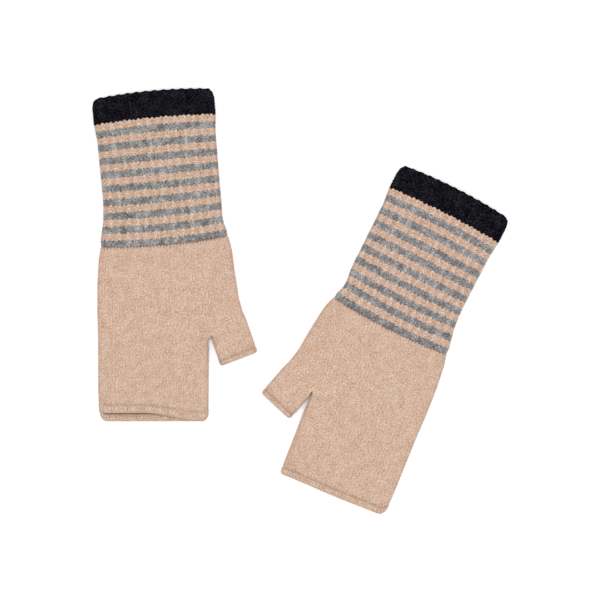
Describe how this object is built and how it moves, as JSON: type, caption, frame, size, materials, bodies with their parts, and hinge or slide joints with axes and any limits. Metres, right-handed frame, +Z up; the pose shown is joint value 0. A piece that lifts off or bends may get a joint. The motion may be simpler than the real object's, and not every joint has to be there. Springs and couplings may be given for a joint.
{
  "type": "pair of fingerless gloves",
  "caption": "Hollow knitted mitts lying flat, each with a long ribbed striped cuff, a thumb gusset, an open thumb and an open finger end.",
  "frame": {"origin": "middle of the pair's outline seen from above, on the table they lie on", "axes": "+Z up from the table; +Y from the finger openings towards the left glove's cuff; +X towards the right glove"},
  "size_m": [0.341, 0.3508, 0.011],
  "materials": {
    "navy_wool": "near-black navy wool, knitted in 1x1 rib, matt",
    "grey_wool": "mid-grey melange wool, knitted in 1x1 rib, matt",
    "beige_wool": "heathered camel-beige wool, lightly felted, matt"
  },
  "bodies": {
    "left_hand": {"left_hand": "beige_wool", "left_finger_edge": "beige_wool"},
    "left_cuff": {"left_cuff_band": "navy_wool", "left_beige_stripe_1": "beige_wool", "left_grey_stripe_1": "grey_wool", "left_beige_stripe_2": "beige_wool", "left_grey_stripe_2": "grey_wool", "left_beige_stripe_3": "beige_wool", "left_grey_stripe_3": "grey_wool", "left_beige_stripe_4": "beige_wool", "left_grey_stripe_4": "grey_wool", "left_beige_stripe_5": "beige_wool", "left_grey_stripe_5": "grey_wool", "left_beige_stripe_6": "beige_wool", "left_grey_stripe_6": "grey_wool", "left_beige_stripe_7": "beige_wool", "left_grey_stripe_7": "grey_wool", "left_beige_stripe_8": "beige_wool", "left_grey_stripe_8": "grey_wool", "left_beige_stripe_9": "beige_wool", "left_grey_stripe_9": "grey_wool"},
    "left_thumb": {"left_thumb": "beige_wool", "left_thumb_edge": "beige_wool"},
    "right_hand": {"right_hand": "beige_wool", "right_finger_edge": "beige_wool"},
    "right_cuff": {"right_cuff_band": "navy_wool", "right_beige_stripe_1": "beige_wool", "right_grey_stripe_1": "grey_wool", "right_beige_stripe_2": "beige_wool", "right_grey_stripe_2": "grey_wool", "right_beige_stripe_3": "beige_wool", "right_grey_stripe_3": "grey_wool", "right_beige_stripe_4": "beige_wool", "right_grey_stripe_4": "grey_wool", "right_beige_stripe_5": "beige_wool", "right_grey_stripe_5": "grey_wool", "right_beige_stripe_6": "beige_wool", "right_grey_stripe_6": "grey_wool", "right_beige_stripe_7": "beige_wool", "right_grey_stripe_7": "grey_wool", "right_beige_stripe_8": "beige_wool", "right_grey_stripe_8": "grey_wool", "right_beige_stripe_9": "beige_wool", "right_grey_stripe_9": "grey_wool"},
    "right_thumb": {"right_thumb": "beige_wool", "right_thumb_edge": "beige_wool"}
  },
  "joints": [
    {"name": "right_glove_lift", "type": "slide", "parent": "left_hand", "child": "right_hand", "axis": [0, 0, 1], "range_m": [0, 0.12]},
    {"name": "left_wrist_bend", "type": "hinge", "parent": "left_hand", "child": "left_cuff", "pos_m": [-0.10996, 0.0481, 0.011], "axis": [0.9959, 0.0906, 0], "range_deg": [0, 75]},
    {"name": "left_thumb_bend", "type": "hinge", "parent": "left_hand", "child": "left_thumb", "pos_m": [-0.05671, -0.02081, 0.011], "axis": [-0.9336, -0.3584, 0], "range_deg": [0, 60]},
    {"name": "right_wrist_bend", "type": "hinge", "parent": "right_hand", "child": "right_cuff", "pos_m": [0.07233, -0.02046, 0.011], "axis": [0.8918, -0.4524, 0], "range_deg": [0, 75]},
    {"name": "right_thumb_bend", "type": "hinge", "parent": "right_hand", "child": "right_thumb", "pos_m": [-0.00263, -0.06479, 0.011], "axis": [-0.7349, 0.6782, 0], "range_deg": [0, 60]}
  ]
}
